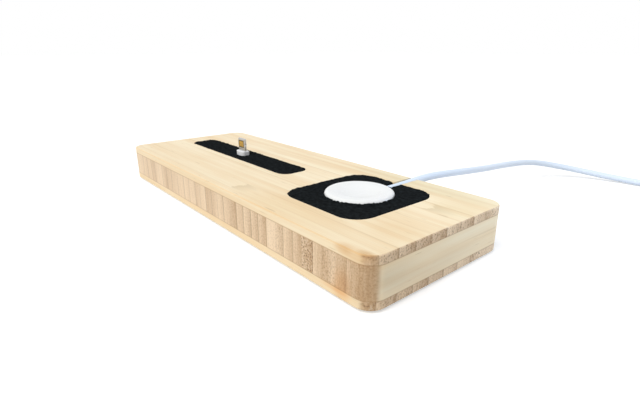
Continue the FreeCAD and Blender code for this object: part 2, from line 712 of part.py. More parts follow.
def cord_tie():
    """A flat band round the coil's turns, on the side towards the board."""
    room_y = COIL_OUTER_RADIUS - COIL_INNER_RADIUS + CORD_DIAMETER + 2 * TIE_CLEARANCE
    room_z = CORD_PITCH + CORD_DIAMETER + 2 * TIE_CLEARANCE
    grow = 2 * TIE_THICKNESS
    outer = rounded_face(room_y + grow, room_z + grow, TIE_CORNER_RADIUS + TIE_THICKNESS)
    inner = rounded_face(room_y, room_z, TIE_CORNER_RADIUS)
    band = outer.extrude(Vector(0, 0, TIE_WIDTH)).cut(inner.extrude(Vector(0, 0, TIE_WIDTH)))
    middle = Vector(
        COIL_CENTRE_X - TIE_WIDTH / 2,
        COIL_CENTRE_Y - (COIL_OUTER_RADIUS + COIL_INNER_RADIUS) / 2,
        (COIL_LOW_Z + COIL_HIGH_Z) / 2,
    )
    turn = FreeCAD.Rotation(Vector(0, 1, 0), Vector(0, 0, 1), Vector(1, 0, 0), "ZXY")
    band.Placement = FreeCAD.Placement(middle, turn)
    return band


# Plug at the cord's far end, pointing to the front


def along_plug(face, back_y, length):
    """A face drawn in X and Z, carried forwards from back_y along the plug."""
    solid = face.extrude(Vector(0, 0, length))
    solid.rotate(Vector(0, 0, 0), Vector(1, 0, 0), 90)
    solid.translate(Vector(PLUG_X, back_y, PLUG_Z))
    return solid


def usb_plug_sleeve():
    tip = Vector(PLUG_X, SLEEVE_TIP_Y, PLUG_Z)
    return Part.makeCone(SLEEVE_TIP_DIAMETER / 2, SLEEVE_DIAMETER / 2, SLEEVE_LENGTH, tip, Vector(0, -1, 0))


def plug_body(grow, back_y, length):
    width = PLUG_WIDTH + 2 * grow
    height = PLUG_HEIGHT + 2 * grow
    return along_plug(rounded_face(width, height, PLUG_CORNER_RADIUS + grow), back_y, length)


def usb_plug_grip():
    grip = block(GRIP_WIDTH, GRIP_LENGTH, GRIP_HEIGHT, PLUG_X, (GRIP_BACK_Y + GRIP_FRONT_Y) / 2, PLUG_Z)
    grip = grip.makeFillet(GRIP_RADIUS, grip.Edges)
    return grip.cut(plug_body(PLUG_FIT, PLUG_ROOT_Y, PLUG_WHOLE_LENGTH))


def usb_plug_shell():
    """A bent steel tube with two square windows in its upper side."""
    outside = plug_body(0.0, PLUG_ROOT_Y, PLUG_WHOLE_LENGTH)
    shell = outside.cut(plug_body(-PLUG_WALL, PLUG_ROOT_Y, PLUG_WHOLE_LENGTH))
    size = (PLUG_WINDOW_WIDTH, PLUG_WINDOW_LENGTH, PLUG_HEIGHT)
    y = PLUG_TIP_Y + PLUG_WINDOW_FROM_TIP
    z = PLUG_Z + PLUG_HEIGHT / 2
    xs = [PLUG_X + side * PLUG_WINDOW_SPACING / 2 for side in (-1, 1)]
    return shell.cut([block(*size, x, y, z) for x in xs])


def blade_level():
    """The height of the blade's lower face, where the contacts lie."""
    return PLUG_Z + PLUG_HEIGHT / 2 - PLUG_WALL - PLUG_FIT - BLADE_THICKNESS


def usb_plug_insert():
    """A block that fills the tube inside the grip, with a blade along the tube's upper side."""
    whole = plug_body(-PLUG_WALL - PLUG_FIT, PLUG_ROOT_Y, PLUG_WHOLE_LENGTH - BLADE_SETBACK)
    length = PLUG_LENGTH + CUT_MARGIN
    height = PLUG_HEIGHT
    middle_z = blade_level() - height / 2
    room = block(PLUG_WIDTH, length, height, PLUG_X, GRIP_FRONT_Y - length / 2, middle_z)
    return whole.cut(room)


def usb_plug_contacts():
    first = -PIN_PITCH * (PIN_COUNT - 1) / 2
    y = PLUG_TIP_Y + BLADE_SETBACK + PIN_SETBACK + PIN_LENGTH / 2
    z = blade_level() - PIN_THICKNESS / 2
    pins = [
        block(PIN_WIDTH, PIN_LENGTH, PIN_THICKNESS, PLUG_X + first + PIN_PITCH * k, y, z)
        for k in range(PIN_COUNT)
    ]
    return Part.makeCompound(pins)


# Every piece, under the name of its file

pieces = {
    "top_ply": top_ply(),
    "core_ply": core_ply(),
    "bottom_ply": bottom_ply(),
    "rubber_feet": rubber_feet(),
    "phone_felt_pad": phone_felt_pad(),
    "watch_felt_pad": watch_felt_pad(),
    "connector_housing": connector_housing(),
    "connector_tongue": connector_tongue(),
    "connector_inserts": connector_inserts(),
    "connector_contacts": connector_contacts(),
    "connector_retainer": connector_retainer(),
    "retainer_screws": retainer_screws(),
    "puck_shell": puck_shell(),
    "puck_cover": puck_cover(),
    "puck_base": puck_base(),
    "puck_coil": puck_coil(),
    "puck_magnet": puck_magnet(),
    "puck_ferrite": puck_ferrite(),
    "puck_circuit_board": puck_circuit_board(),
    "puck_chips": puck_chips(),
    "puck_collar": puck_collar(),
    **cord_tubes(),
    "cord_tie": cord_tie(),
    "usb_plug_sleeve": usb_plug_sleeve(),
    "usb_plug_grip": usb_plug_grip(),
    "usb_plug_shell": usb_plug_shell(),
    "usb_plug_insert": usb_plug_insert(),
    "usb_plug_contacts": usb_plug_contacts(),
}

os.makedirs("parts", exist_ok=True)
for name, shape in pieces.items():
    shape.exportStep(f"parts/{name}.step")
    print(f"{name}: {len(shape.Solids)} solids, valid {shape.isValid()}, volume {shape.Volume:.1f}")
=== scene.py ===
import math

import bmesh
import bpy
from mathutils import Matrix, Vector, noise


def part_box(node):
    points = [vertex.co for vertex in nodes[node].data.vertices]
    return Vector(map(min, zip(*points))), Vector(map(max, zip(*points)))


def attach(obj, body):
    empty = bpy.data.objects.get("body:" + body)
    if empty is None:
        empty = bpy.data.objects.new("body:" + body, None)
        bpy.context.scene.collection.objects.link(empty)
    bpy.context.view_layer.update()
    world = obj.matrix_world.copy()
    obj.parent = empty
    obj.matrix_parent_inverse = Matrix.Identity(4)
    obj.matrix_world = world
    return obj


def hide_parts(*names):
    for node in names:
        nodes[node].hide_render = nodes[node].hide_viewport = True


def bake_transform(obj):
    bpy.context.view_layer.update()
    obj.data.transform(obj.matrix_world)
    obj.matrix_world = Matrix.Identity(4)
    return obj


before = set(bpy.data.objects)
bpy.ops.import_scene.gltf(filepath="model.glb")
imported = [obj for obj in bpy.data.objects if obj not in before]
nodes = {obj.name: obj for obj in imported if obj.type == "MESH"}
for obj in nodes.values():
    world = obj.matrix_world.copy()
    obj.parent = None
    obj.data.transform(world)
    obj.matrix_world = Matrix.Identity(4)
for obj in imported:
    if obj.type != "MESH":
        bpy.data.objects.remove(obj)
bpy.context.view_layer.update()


# Board: three plies of bamboo strips, pressed and glued crosswise, sanded flat and oiled. The strips of
# the two face plies run along the board and those of the core run across it, so the long sides show the
# core's cut ends and the short sides show those of the face plies.

MM = 0.001


def colour(code):
    """A hex sRGB colour as the linear red, green, blue and alpha that a shader takes."""
    parts = [int(code[k : k + 2], 16) / 255 for k in (1, 3, 5)]
    return [p / 12.92 if p <= 0.04045 else ((p + 0.055) / 1.055) ** 2.4 for p in parts] + [1.0]


def add(tree, kind, inputs, **settings):
    """Adds a node with its settings. An input gets a value, or a link where it is given a socket."""
    made = tree.nodes.new(kind)
    for key, value in settings.items():
        setattr(made, key, value)
    for key, value in inputs.items():
        if isinstance(value, bpy.types.NodeSocket):
            tree.links.new(value, made.inputs[key])
        else:
            made.inputs[key].default_value = value
    return made


def blank_material(name):
    """A material with no nodes yet."""
    material = bpy.data.materials.new(name)
    material.use_nodes = True
    material.node_tree.nodes.clear()
    return material


def dress(material, *names):
    """Gives CAD pieces a material."""
    for name in names:
        nodes[name].data.materials.clear()
        nodes[name].data.materials.append(material)


# Half the board's length and width, in millimetres
BOARD_HALF = {"X": 97.0, "Y": 36.0}
# Each strip across a ply: where it ends in millimetres, how dense the bamboo is at its start and towards
# its end, how strongly its fibre bundles show at a cut end, and how dark the glue seam at its end is. They
# are listed in groups, because one colour ramp has room for about ten of them.
CORE_STRIPS = [
    [
        (-89.6, 0.16, 0.20, 0.0, 0.6),
        (-81.1, 0.10, 0.24, 0.0, 0.8),
        (-75.0, 0.14, 0.34, 0.0, 0.9),
        (-68.8, 0.30, 0.24, 0.0, 0.6),
        (-63.6, 0.50, 0.46, 0.1, 0.6),
        (-58.0, 0.42, 0.12, 0.0, 0.6),
        (-53.1, 0.08, 0.16, 0.0, 0.9),
        (-47.0, 0.26, 0.58, 0.1, 0.8),
        (-40.8, 0.46, 0.34, 0.1, 0.8),
    ],
    [
        (-33.5, 0.36, 0.26, 0.1, 0.4),
        (-26.2, 0.22, 0.18, 0.0, 0.9),
        (-20.2, 0.06, 0.28, 0.0, 0.6),
        (-13.7, 0.16, 0.22, 0.1, 0.9),
        (-9.0, 0.48, 0.26, 0.1, 0.6),
        (-3.2, 0.28, 0.10, 0.0, 1.0),
        (2.5, 0.64, 0.46, 0.1, 0.8),
        (8.0, 0.52, 0.26, 0.1, 0.4),
        (13.1, 0.10, 0.40, 0.1, 0.8),
    ],
    [
        (18.7, 0.24, 0.44, 0.1, 0.1),
        (23.8, 0.52, 0.80, 0.2, 0.8),
        (29.2, 0.28, 0.50, 0.1, 0.7),
        (34.6, 0.15, 0.55, 0.2, 0.8),
        (39.7, 0.25, 0.62, 0.2, 0.7),
        (45.2, 0.25, 0.75, 0.2, 0.7),
        (50.5, 0.05, 0.05, 0.2, 0.0),
        (55.6, 0.18, 0.58, 0.4, 0.4),
        (61.2, 0.18, 0.60, 0.1, 0.5),
    ],
    [
        (65.9, 0.25, 0.75, 0.2, 0.1),
        (71.8, 0.58, 1.00, 1.0, 0.8),
        (76.5, 0.28, 0.62, 0.1, 0.3),
        (82.4, 0.82, 0.35, 0.5, 0.1),
        (87.5, 0.52, 0.80, 0.1, 0.3),
        (88.8, 0.40, 0.60, 0.1, 0.0),
        (94.1, 0.72, 0.90, 0.2, 0.1),
        (97.0, 0.92, 0.95, 0.2, 0.0),
    ],
]
TOP_STRIPS = [
    [
        (-32.2, 0.45, 0.75, 0.3, 0.2),
        (-24.4, 0.20, 0.70, 0.6, 0.5),
        (-16.6, 0.20, 0.90, 0.7, 0.6),
        (-8.7, 0.45, 0.85, 0.7, 0.4),
        (-1.0, 0.40, 0.95, 0.7, 0.7),
        (7.1, 0.00, 0.58, 0.6, 0.3),
        (14.9, 0.20, 0.95, 0.6, 0.6),
        (22.3, 0.00, 0.60, 0.4, 0.4),
        (30.2, 0.85, 0.05, 0.7, 0.2),
        (36.0, 0.30, 0.45, 0.5, 0.0),
    ],
]
BOTTOM_STRIPS = [
    [
        (-32.4, 0.95, 1.00, 0.8, 0.3),
        (-24.4, 0.35, 0.72, 0.5, 0.6),
        (-16.6, 0.22, 0.65, 0.5, 0.9),
        (-8.7, 0.30, 0.85, 0.4, 1.0),
        (-0.8, 0.15, 0.60, 0.3, 0.9),
        (7.3, 0.12, 0.48, 0.3, 0.9),
        (15.0, 0.06, 0.42, 0.3, 0.3),
        (21.8, 0.90, 0.10, 0.9, 0.0),
        (30.0, 0.28, 0.12, 0.3, 0.3),
        (36.0, 0.15, 0.10, 0.3, 0.0),
    ],
]
# A seam's dark edge fades in over this width, in millimetres, and ends sharply
SEAM_WIDTH = 0.8
SEAM_SHARP = SEAM_WIDTH / 10

# Where along each strip of a face ply a culm joint lies, in millimetres, or None where it has none, and the
# reach that is set aside for those places
TOP_JOINTS = [None, 13.5, None, None, None, None, 81.5, None, None, None]
BOTTOM_JOINTS = [None, None, -75, None, 8, None, -33, 70, None, None]
JOINT_REACH = 140.0


def strip_values(tree, place, start, groups, joints):
    """A strip's values at a place across the ply: its density, its bundles, its culm joint's place along it
    and its seam. The ramps hold them as red, green, blue and alpha."""
    places = iter(joints)
    picked = {}
    for strips in groups:
        end = strips[-1][0]
        share = add(
            tree, "ShaderNodeMapRange", {"Value": place, "From Min": start * MM, "From Max": end * MM}
        )
        ramp = add(tree, "ShaderNodeValToRGB", {"Fac": share.outputs["Result"]})
        stops = ramp.color_ramp.elements
        stops.remove(stops[1])
        low = start
        for strip_end, first_density, last_density, bundles, seam in strips:
            joint = next(places, None)
            blue = 0.0 if joint is None else (joint / JOINT_REACH + 1) / 2
            corners = (
                (low, first_density, 0.0),
                (strip_end - SEAM_WIDTH, last_density, 0.0),
                (strip_end - SEAM_SHARP, last_density, seam),
            )
            for at, density, dark in corners:
                stop = stops[0] if at == start else stops.new((at - start) / (end - start))
                stop.color = (density, bundles, blue, dark)
            low = strip_end
        fresh = {key: ramp.outputs[key] for key in ("Color", "Alpha")}
        if picked:
            beyond = add(tree, "ShaderNodeMath", {0: place, 1: start * MM}, operation="GREATER_THAN")
            for key in fresh:
                choice = {"Fac": beyond.outputs[0], "Color1": picked[key], "Color2": fresh[key]}
                fresh[key] = add(tree, "ShaderNodeMixRGB", choice).outputs["Color"]
        picked = fresh
        start = end
    parts = add(tree, "ShaderNodeSeparateColor", {"Color": picked["Color"]}).outputs
    joint_place = add(
        tree,
        "ShaderNodeMath",
        {0: parts["Blue"], 1: 2 * JOINT_REACH * MM, 2: -JOINT_REACH * MM},
        operation="MULTIPLY_ADD",
    ).outputs[0]
    return {
        "density": parts["Red"],
        "bundles": parts["Green"],
        "joint": joint_place,
        "seam": picked["Alpha"],
    }


# Patterns in the wood: how far each stretches along the grain, across the strips and upright, in millimetres
GRAIN_PATTERNS = {
    "cloud": (70.0, 12.0, 12.0),
    "band": (85.0, 5.5, 5.5),
    "streak": (110.0, 2.8, 2.8),
    "fibre": (26.0, 0.55, 0.55),
    "hair": (90.0, 1.2, 1.2),
    "row": (300.0, 0.75, 12.0),
    "pore": (300.0, 0.5, 0.7),
    "dash": (11.0, 1.1, 0.7),
    "bundle": (40.0, 0.6, 0.75),
}
# The place in the endless patterns where the board is cut from them
GRAIN_START = (9.37, 21.11, 0.0)


def grain_waves(tree, place, along, across):
    """The strength of each pattern at a place, and for the bundles, how far the nearest one is."""
    waves = {}
    for pattern, (length, width, height) in GRAIN_PATTERNS.items():
        reach = {along: length, across: width, "Z": height}
        scale = [1 / (reach[axis] * MM) for axis in "XYZ"]
        stretched = add(
            tree, "ShaderNodeMapping", {"Vector": place, "Location": GRAIN_START, "Scale": scale}
        ).outputs["Vector"]
        if pattern == "bundle":
            cells = add(tree, "ShaderNodeTexVoronoi", {"Vector": stretched, "Scale": 1.0})
            waves[pattern] = cells.outputs["Distance"]
        else:
            wave = add(tree, "ShaderNodeTexNoise", {"Vector": stretched, "Scale": 1.0, "Detail": 2.0})
            waves[pattern] = wave.outputs["Fac"]
    return waves


def sum_waves(tree, start, weights, waves):
    """A start value and the patterns added to it, each by its weight."""
    total = start
    for pattern, weight in weights.items():
        total = add(
            tree, "ShaderNodeMath", {0: waves[pattern], 1: weight, 2: total}, operation="MULTIPLY_ADD"
        ).outputs[0]
    return total


# How far a face has to turn towards the grain to start and to end its change from long grain to cut end
CUT_TURN = (0.2, 0.55)
# A cut face this far in from the board's edge, in millimetres, counts as milled, and then this share of a
# cut end shows on it
MILLED_FROM = 12.0
MILLED_TO = 8.0
MILLED_SHARE = 0.3


def cut_share(tree, facing, spot, along):
    """How much of a cut end a face shows: all of it where it looks along the grain. The faces inside the
    board, in the cord's groove, are freshly milled and paler."""
    turn = add(tree, "ShaderNodeMath", {0: facing[along]}, operation="ABSOLUTE").outputs[0]
    cut = add(
        tree,
        "ShaderNodeMapRange",
        {"Value": turn, "From Min": CUT_TURN[0], "From Max": CUT_TURN[1]},
        interpolation_type="SMOOTHSTEP",
    ).outputs["Result"]
    from_middle = add(tree, "ShaderNodeMath", {0: spot[along]}, operation="ABSOLUTE").outputs[0]
    outer = add(
        tree,
        "ShaderNodeMapRange",
        {
            "Value": from_middle,
            "From Min": (BOARD_HALF[along] - MILLED_FROM) * MM,
            "From Max": (BOARD_HALF[along] - MILLED_TO) * MM,
            "To Min": MILLED_SHARE,
        },
    ).outputs["Result"]
    return add(tree, "ShaderNodeMath", {0: cut, 1: outer}, operation="MULTIPLY").outputs[0]


# Long grain: its palest and deepest colour, and how deep it is before and with each pattern and the density
FACE_PALE = "#FCEFD1"
FACE_DEEP = "#EFD5AB"
FACE_START = -1.34
FACE_WEIGHTS = {"cloud": 1.2, "band": 0.7, "streak": 1.0, "fibre": 0.5}
DENSITY_WEIGHT = 0.3
# Lines on it: from which strength of its pattern each one starts, where it is full, and how strong it is then
FACE_LINE = "#CDB58B"
FINE_LINES = {"hair": (0.62, 0.76, 0.28), "dash": (0.68, 0.78, 0.6)}
SEAM_BREAKS = (0.42, 0.6)
# The smudge behind a culm joint: how ragged its start is, where it starts and fades out, and its strength
SMUDGE_RAGGED = {"fibre": 5 * MM, "streak": 9 * MM}
SMUDGE_START = (6.5 * MM, 7.5 * MM)
SMUDGE_FADE = (7 * MM, 17 * MM)
SMUDGE_STRENGTH = 0.5


def long_grain(tree, facing, across, side_depth, past_joint, strip, waves):
    """Cream wood in clouds, bands, streaks and fibres, deeper on the sides and the rounded edges. Over it
    lie hair lines, short dashes, the broken glue seams, and the smudges that start sharply at a culm
    joint and fade."""
    side = add(tree, "ShaderNodeMath", {0: facing[across]}, operation="ABSOLUTE").outputs[0]
    upward = add(tree, "ShaderNodeMath", {0: facing["Z"]}, operation="ABSOLUTE").outputs[0]
    edge = add(tree, "ShaderNodeMath", {0: side, 1: upward}, operation="MULTIPLY").outputs[0]
    depth = add(
        tree, "ShaderNodeMath", {0: side, 1: side_depth, 2: FACE_START}, operation="MULTIPLY_ADD"
    ).outputs[0]
    depth = add(tree, "ShaderNodeMath", {0: edge, 1: depth}, operation="ADD").outputs[0]
    depth = add(
        tree,
        "ShaderNodeMath",
        {0: strip["density"], 1: DENSITY_WEIGHT, 2: depth},
        operation="MULTIPLY_ADD",
    ).outputs[0]
    depth = sum_waves(tree, depth, FACE_WEIGHTS, waves)
    wood = add(
        tree,
        "ShaderNodeMixRGB",
        {"Fac": depth, "Color1": colour(FACE_PALE), "Color2": colour(FACE_DEEP)},
    ).outputs["Color"]

    broken = add(
        tree,
        "ShaderNodeMapRange",
        {"Value": waves["streak"], "From Min": SEAM_BREAKS[0], "From Max": SEAM_BREAKS[1]},
    ).outputs["Result"]
    marks = add(tree, "ShaderNodeMath", {0: broken, 1: strip["seam"]}, operation="MULTIPLY").outputs[0]
    for pattern, (start, full, strength) in FINE_LINES.items():
        line = add(
            tree,
            "ShaderNodeMapRange",
            {"Value": waves[pattern], "From Min": start, "From Max": full, "To Max": strength},
            interpolation_type="SMOOTHSTEP",
        ).outputs["Result"]
        marks = add(tree, "ShaderNodeMath", {0: marks, 1: line}, operation="MAXIMUM").outputs[0]

    past = sum_waves(tree, past_joint, SMUDGE_RAGGED, waves)
    begun = add(
        tree,
        "ShaderNodeMapRange",
        {"Value": past, "From Min": SMUDGE_START[0], "From Max": SMUDGE_START[1]},
    ).outputs["Result"]
    faded = add(
        tree,
        "ShaderNodeMapRange",
        {
            "Value": past,
            "From Min": SMUDGE_FADE[0],
            "From Max": SMUDGE_FADE[1],
            "To Min": SMUDGE_STRENGTH,
            "To Max": 0.0,
        },
    ).outputs["Result"]
    smudge = add(tree, "ShaderNodeMath", {0: begun, 1: faded}, operation="MULTIPLY").outputs[0]
    marks = add(tree, "ShaderNodeMath", {0: marks, 1: smudge}, operation="MAXIMUM").outputs[0]
    return add(
        tree, "ShaderNodeMixRGB", {"Fac": marks, "Color1": wood, "Color2": colour(FACE_LINE)}
    ).outputs["Color"]


# Cut end: its colour in the lightest and the densest bamboo, and its tone before and with each pattern
CUT_PALE = "#F2D9B7"
CUT_BROWN = "#B9966E"
CUT_START = -0.875
CUT_WEIGHTS = {"row": 0.75, "pore": 1.0}
# Fibre bundles on it, which show in patches: each one's pale ring and dark dot, as the distance from its
# middle where that starts and where it is full, in cells of the pattern, its strength and its colour
BUNDLE_PATCHES = (0.35, 0.6)
BUNDLE_RINGS = [(0.5, 0.75, 0.5, "#F2E2C8"), (0.5, 0.22, 1.0, "#73553A")]
CUT_SEAM = "#7D5E40"
CUT_SEAM_SHARE = 0.6


def cut_end(tree, strip, waves):
    """Wood that goes from pale to brown with the strip's density, in rows of pores, with dark fibre bundles
    in pale rings and a brown line at each glue seam."""
    tone = add(tree, "ShaderNodeMath", {0: strip["density"], 1: CUT_START}, operation="ADD").outputs[0]
    tone = sum_waves(tree, tone, CUT_WEIGHTS, waves)
    wood = add(
        tree,
        "ShaderNodeMixRGB",
        {"Fac": tone, "Color1": colour(CUT_PALE), "Color2": colour(CUT_BROWN)},
    ).outputs["Color"]
    patchy = add(
        tree,
        "ShaderNodeMapRange",
        {"Value": waves["pore"], "From Min": BUNDLE_PATCHES[0], "From Max": BUNDLE_PATCHES[1]},
    ).outputs["Result"]
    bundles = add(tree, "ShaderNodeMath", {0: strip["bundles"], 1: patchy}, operation="MULTIPLY").outputs[0]
    for start, full, strength, code in BUNDLE_RINGS:
        ring = add(
            tree,
            "ShaderNodeMapRange",
            {"Value": waves["bundle"], "From Min": start, "From Max": full, "To Max": strength},
            interpolation_type="SMOOTHSTEP",
        ).outputs["Result"]
        ring = add(tree, "ShaderNodeMath", {0: ring, 1: bundles}, operation="MULTIPLY").outputs[0]
        wood = add(
            tree, "ShaderNodeMixRGB", {"Fac": ring, "Color1": wood, "Color2": colour(code)}
        ).outputs["Color"]
    seam = add(tree, "ShaderNodeMath", {0: strip["seam"], 1: CUT_SEAM_SHARE}, operation="MULTIPLY").outputs[0]
    return add(
        tree, "ShaderNodeMixRGB", {"Fac": seam, "Color1": wood, "Color2": colour(CUT_SEAM)}
    ).outputs["Color"]


# The glue between two plies: half the width of its line, its colour and how strongly it shows
GLUE_HALF = 0.3 * MM
GLUE_BROWN = "#A98458"
GLUE_SHARE = 0.6


def glue_lines(tree, wood, height, levels):
    """A thin dark line at each level where plies meet."""
    for level in levels:
        away = add(tree, "ShaderNodeMath", {0: height, 1: level * MM}, operation="SUBTRACT").outputs[0]
        away = add(tree, "ShaderNodeMath", {0: away}, operation="ABSOLUTE").outputs[0]
        line = {"Value": away, "From Min": GLUE_HALF, "From Max": 0.0, "To Max": GLUE_SHARE}
        glue = add(tree, "ShaderNodeMapRange", line).outputs["Result"]
        wood = add(
            tree, "ShaderNodeMixRGB", {"Fac": glue, "Color1": wood, "Color2": colour(GLUE_BROWN)}
        ).outputs["Color"]
    return wood


# Patches that multiply the wood's colour: five honey and tan patches of finish on the front and its edge near
# the corner; two of painted shade on the end, darker towards its front corner and along its lower middle; and
# four on the top, two duller and less yellow patches on its front and right, one painted cool grey shade
# along its back, and one painted shade that takes back some of the end card's bluish light. For each: its
# middle and its reach, in millimetres, how strongly it shows and its colour
FINISH_AND_PAINTED_SHADE_PATCHES = [
    ((85.2, -36.0, 5.0), (5.5, 6.0, 9.0), 0.45, "#F0C688"),
    ((82.0, -36.0, 3.6), (9.0, 6.0, 1.6), 0.35, "#F0C688"),
    ((91.5, -36.0, 17.6), (12.0, 5.0, 3.4), 0.55, "#EBD3B2"),
    ((85.4, -36.0, 18.0), (5.0, 4.0, 2.4), 0.6, "#EFDCC4"),
    ((94.0, -34.4, 18.6), (5.0, 2.6, 1.4), 0.65, "#E4D0B4"),
    # The next two are painted shade on the end: darker towards the front corner, and along the lower middle
    ((99.0, -32.0, 9.8), (3.5, 30.0, 9.0), 0.9, "#DAD9D6"),
    ((99.0, -4.0, 7.0), (3.5, 40.0, 5.5), 0.55, "#DCD4CC"),
    ((50.0, -30.0, 18.8), (44.0, 14.0, 1.2), 0.75, "#F3E6D2"),
    ((88.0, -16.0, 18.8), (14.0, 12.0, 1.2), 0.45, "#F3E6D2"),
    # Painted shade: a cool grey cast along the back of the top
    ((66.0, 31.0, 18.8), (60.0, 12.0, 1.2), 0.75, "#F2FAFB"),
    # Painted shade that takes back some of the end card's bluish light on the top
    ((89.0, 16.0, 18.8), (16.0, 13.0, 1.2), 0.7, "#F4F1E7"),
]
# A patch is full within this share of its reach
PATCH_CORE = 0.2


def stain_and_painted_shade(tree, wood, place):
    """The patches of finish, and the patches of painted shade, over the wood."""
    for middle, reach, strength, code in FINISH_AND_PAINTED_SHADE_PATCHES:
        from_middle = add(
            tree,
            "ShaderNodeMapping",
            {
                "Vector": place,
                "Location": [-at / size for at, size in zip(middle, reach)],
                "Scale": [1 / (size * MM) for size in reach],
            },
        ).outputs["Vector"]
        away = add(tree, "ShaderNodeVectorMath", {0: from_middle}, operation="LENGTH").outputs["Value"]
        shown = add(
            tree,
            "ShaderNodeMapRange",
            {"Value": away, "From Min": 1.0, "From Max": PATCH_CORE, "To Max": strength},
            interpolation_type="SMOOTHSTEP",
        ).outputs["Result"]
        wood = add(
            tree,
            "ShaderNodeMixRGB",
            {"Fac": shown, "Color1": wood, "Color2": colour(code)},
            blend_type="MULTIPLY",
        ).outputs["Color"]
    return wood


# The oiled surface: a satin gloss that varies from fibre to fibre, and fibres that stand up a little
OIL_IOR = 1.45
OIL_ROUGHNESS = (0.42, 0.58)
FIBRE_RELIEF = 0.25
FIBRE_HEIGHT = 0.05 * MM


def bamboo(name, along, across, groups, joints, glued, side_depth):
    """Oiled bamboo: a pale, satin face with long bands and streaks, hair lines, short dashes and smudges
    behind the culm joints. A cut end is browner and lined, and dotted where the dark fibre bundles come
    out. The glue shows as a thin dark line at the levels where plies meet, the finish left a few stains,
    and patches of painted shade lie on the end and the top."""
    material = blank_material(name)
    tree = material.node_tree
    where = add(tree, "ShaderNodeTexCoord", {}).outputs
    spot = add(tree, "ShaderNodeSeparateXYZ", {"Vector": where["Object"]}).outputs
    facing = add(tree, "ShaderNodeSeparateXYZ", {"Vector": where["Normal"]}).outputs
    strip = strip_values(tree, spot[across], -BOARD_HALF[across], groups, joints)
    past_joint = add(
        tree, "ShaderNodeMath", {0: spot[along], 1: strip["joint"]}, operation="SUBTRACT"
    ).outputs[0]
    waves = grain_waves(tree, where["Object"], along, across)
    wood = add(
        tree,
        "ShaderNodeMixRGB",
        {
            "Fac": cut_share(tree, facing, spot, along),
            "Color1": long_grain(tree, facing, across, side_depth, past_joint, strip, waves),
            "Color2": cut_end(tree, strip, waves),
        },
    ).outputs["Color"]
    wood = glue_lines(tree, wood, spot["Z"], glued)
    # Stains of the finish, with patches of painted shade on the end and the top
    wood = stain_and_painted_shade(tree, wood, where["Object"])
    relief = add(
        tree,
        "ShaderNodeBump",
        {"Height": waves["fibre"], "Strength": FIBRE_RELIEF, "Distance": FIBRE_HEIGHT},
    )
    sheen = add(
        tree,
        "ShaderNodeMapRange",
        {"Value": waves["fibre"], "To Min": OIL_ROUGHNESS[0], "To Max": OIL_ROUGHNESS[1]},
    )
    shader = add(
        tree,
        "ShaderNodeBsdfPrincipled",
        {
            "Base Color": wood,
            "Roughness": sheen.outputs["Result"],
            "IOR": OIL_IOR,
            "Normal": relief.outputs["Normal"],
        },
    )
    add(tree, "ShaderNodeOutputMaterial", {"Surface": shader.outputs["BSDF"]})
    return material


# The levels of the core's lower and upper face, where the plies are glued, in millimetres
CORE_LEVELS = (4.0, 15.6)
# Each ply's material: the axis of its grain, the axis across its strips, its strips and culm joints, the
# levels where it is glued, and how much deeper its sides are than its face
core_bamboo = bamboo(
    "oiled_bamboo_core", "Y", "X", CORE_STRIPS, [], glued=CORE_LEVELS, side_depth=-0.12
)
top_bamboo = bamboo(
    "oiled_bamboo_top", "X", "Y", TOP_STRIPS, TOP_JOINTS, glued=CORE_LEVELS[1:], side_depth=0.22
)
bottom_bamboo = bamboo(
    "oiled_bamboo_bottom", "X", "Y", BOTTOM_STRIPS, BOTTOM_JOINTS, glued=CORE_LEVELS[:1], side_depth=0.28
)
dress(core_bamboo, "core_ply")
dress(top_bamboo, "top_ply")
dress(bottom_bamboo, "bottom_ply")


# Feet: four moulded rubber discs, glued into round pockets under the board's corners. They stand a little
# proud, so the board lies off the table with a thin shadow under it.

FLOW_SIZE = 8 * MM
MOULDED_GLOSS_SPREAD = 0.06
MOULDED_RELIEF = 0.3


def moulded(name, tint, shade, roughness, grit, relief_depth, ior=1.5):
    """Moulded plastic or rubber: an even colour with faint flow marks, and a fine grit from the mould, whose
    size and depth are in millimetres."""
    material = blank_material(name)
    tree = material.node_tree
    where = add(tree, "ShaderNodeTexCoord", {}).outputs["Object"]
    flow = add(tree, "ShaderNodeTexNoise", {"Vector": where, "Scale": 1 / FLOW_SIZE, "Detail": 2.0})
    grain = add(tree, "ShaderNodeTexNoise", {"Vector": where, "Scale": 1 / (grit * MM), "Detail": 1.0})
    body = add(
        tree,
        "ShaderNodeMixRGB",
        {"Fac": flow.outputs["Fac"], "Color1": colour(tint), "Color2": colour(shade)},
    )
    gloss = add(
        tree,
        "ShaderNodeMapRange",
        {
            "Value": grain.outputs["Fac"],
            "To Min": roughness - MOULDED_GLOSS_SPREAD,
            "To Max": roughness + MOULDED_GLOSS_SPREAD,
        },
    )
    relief = add(
        tree,
        "ShaderNodeBump",
        {"Height": grain.outputs["Fac"], "Strength": MOULDED_RELIEF, "Distance": relief_depth * MM},
    )
    shader = add(
        tree,
        "ShaderNodeBsdfPrincipled",
        {
            "Base Color": body.outputs["Color"],
            "Roughness": gloss.outputs["Result"],
            "IOR": ior,
            "Normal": relief.outputs["Normal"],
        },
    )
    add(tree, "ShaderNodeOutputMaterial", {"Surface": shader.outputs["BSDF"]})
    return material


# Moulded rubber is matt and soft-edged, and looks dark grey where light falls on it.
black_rubber = moulded(
    "black_rubber", "#2A2B2D", "#323335", roughness=0.75, grit=0.4, relief_depth=0.05
)
dress(black_rubber, "rubber_feet")


# Felt pads: pressed wool felt, dyed black, die-cut from 3.4 mm sheet and laid in the windows of the
# upper ply. The cut edges are fuzzy and the top stands a little above the wood.

TUFT_SIZE = 1.6 * MM
FIBRE_SIZE = 0.35 * MM
FELT_DARK = "#08090A"
FELT_GREY = "#24282A"
MOTTLE_RANGE = (0.7, 1.3)
FELT_RELIEF = 0.6
FELT_RELIEF_HEIGHT = 0.2 * MM


